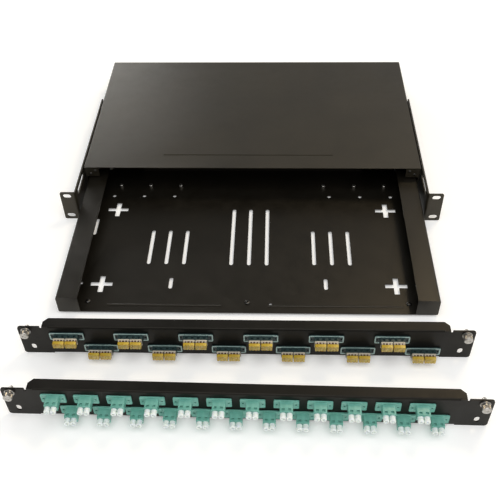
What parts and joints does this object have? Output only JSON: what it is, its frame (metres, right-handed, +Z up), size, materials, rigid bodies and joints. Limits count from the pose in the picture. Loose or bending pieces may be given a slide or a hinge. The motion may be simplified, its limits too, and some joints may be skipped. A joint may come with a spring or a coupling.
{
  "type": "fibre patch panel",
  "caption": "Sliding-drawer rack patch panel, drawer open, with two changeable front plates of fibre adapters on sprung latches and slotted rack brackets.",
  "frame": {"origin": "centre of the case's underside, with the drawer open", "axes": "+X to the right seen from the front, +Y from the front to the rear, +Z up"},
  "size_m": [0.4851, 0.6353, 0.0437],
  "materials": {
    "case_coat": "satin black powder coat",
    "drawer_coat": "satin black powder coat",
    "plate_coat": "satin black powder coat",
    "nickel": "bright nickel plate",
    "nylon": "natural nylon",
    "rubber": "matte black rubber",
    "quad_adapter": "moulded grey-aqua plastic",
    "duplex_adapter": "moulded aqua plastic",
    "amber_cap": "translucent amber dust cap",
    "white_cap": "white dust cap"
  },
  "bodies": {
    "case": {"chassis": "case_coat", "top_cover": "case_coat", "left_rack_bracket": "case_coat", "right_rack_bracket": "case_coat", "left_bracket_screw": "nickel", "right_bracket_screw": "nickel", "left_guide_rail": "drawer_coat", "right_guide_rail": "drawer_coat", "left_glide_strip": "nylon", "right_glide_strip": "nylon", "left_cable_grommet": "rubber", "right_cable_grommet": "rubber"},
    "drawer": {"drawer_tray": "drawer_coat", "tray_centre_screw": "nickel"},
    "quad_panel": {"quad_plate": "plate_coat", "quad_left_latch_collar": "nickel", "quad_right_latch_collar": "nickel", "lc_quad_adapter_01": "quad_adapter", "lc_quad_adapter_02": "quad_adapter", "lc_quad_adapter_03": "quad_adapter", "lc_quad_adapter_04": "quad_adapter", "lc_quad_adapter_05": "quad_adapter", "lc_quad_adapter_06": "quad_adapter", "lc_quad_adapter_07": "quad_adapter", "lc_quad_adapter_08": "quad_adapter", "lc_quad_adapter_09": "quad_adapter", "lc_quad_adapter_10": "quad_adapter", "lc_quad_adapter_11": "quad_adapter", "lc_quad_adapter_12": "quad_adapter"},
    "duplex_panel": {"duplex_plate": "plate_coat", "duplex_left_latch_collar": "nickel", "duplex_right_latch_collar": "nickel", "lc_duplex_adapter_01": "duplex_adapter", "lc_duplex_adapter_02": "duplex_adapter", "lc_duplex_adapter_03": "duplex_adapter", "lc_duplex_adapter_04": "duplex_adapter", "lc_duplex_adapter_05": "duplex_adapter", "lc_duplex_adapter_06": "duplex_adapter", "lc_duplex_adapter_07": "duplex_adapter", "lc_duplex_adapter_08": "duplex_adapter", "lc_duplex_adapter_09": "duplex_adapter", "lc_duplex_adapter_10": "duplex_adapter", "lc_duplex_adapter_11": "duplex_adapter", "lc_duplex_adapter_12": "duplex_adapter", "lc_duplex_adapter_13": "duplex_adapter", "lc_duplex_adapter_14": "duplex_adapter", "lc_duplex_adapter_15": "duplex_adapter", "lc_duplex_adapter_16": "duplex_adapter", "lc_duplex_adapter_17": "duplex_adapter", "lc_duplex_adapter_18": "duplex_adapter", "lc_duplex_adapter_19": "duplex_adapter", "lc_duplex_adapter_20": "duplex_adapter", "lc_duplex_adapter_21": "duplex_adapter", "lc_duplex_adapter_22": "duplex_adapter", "lc_duplex_adapter_23": "duplex_adapter", "lc_duplex_adapter_24": "duplex_adapter"},
    "quad_left_plunger": {"quad_left_latch_plunger": "nickel"},
    "quad_right_plunger": {"quad_right_latch_plunger": "nickel"},
    "duplex_left_plunger": {"duplex_left_latch_plunger": "nickel"},
    "duplex_right_plunger": {"duplex_right_latch_plunger": "nickel"}
  },
  "joints": [
    {"name": "drawer_slide", "type": "slide", "parent": "case", "child": "drawer", "axis": [0, 1, 0], "range_m": [0, 0.1757]},
    {"name": "quad_plate_fit", "type": "slide", "parent": "drawer", "child": "quad_panel", "axis": [0, 1, 0], "range_m": [0, 0.0401]},
    {"name": "duplex_plate_lift", "type": "slide", "parent": "case", "child": "duplex_panel", "axis": [0, 0, 1], "range_m": [0, 0.12]},
    {"name": "quad_left_plunger_pull", "type": "slide", "parent": "quad_panel", "child": "quad_left_plunger", "axis": [0, -1, 0], "range_m": [0, 0.006], "stiffness_N_per_m": 250, "springref_m": -0.006},
    {"name": "quad_right_plunger_pull", "type": "slide", "parent": "quad_panel", "child": "quad_right_plunger", "axis": [0, -1, 0], "range_m": [0, 0.006], "stiffness_N_per_m": 250, "springref_m": -0.006},
    {"name": "duplex_left_plunger_pull", "type": "slide", "parent": "duplex_panel", "child": "duplex_left_plunger", "axis": [-0.014, -0.9999, 0], "range_m": [0, 0.006], "stiffness_N_per_m": 250, "springref_m": -0.006},
    {"name": "duplex_right_plunger_pull", "type": "slide", "parent": "duplex_panel", "child": "duplex_right_plunger", "axis": [-0.014, -0.9999, 0], "range_m": [0, 0.006], "stiffness_N_per_m": 250, "springref_m": -0.006}
  ]
}
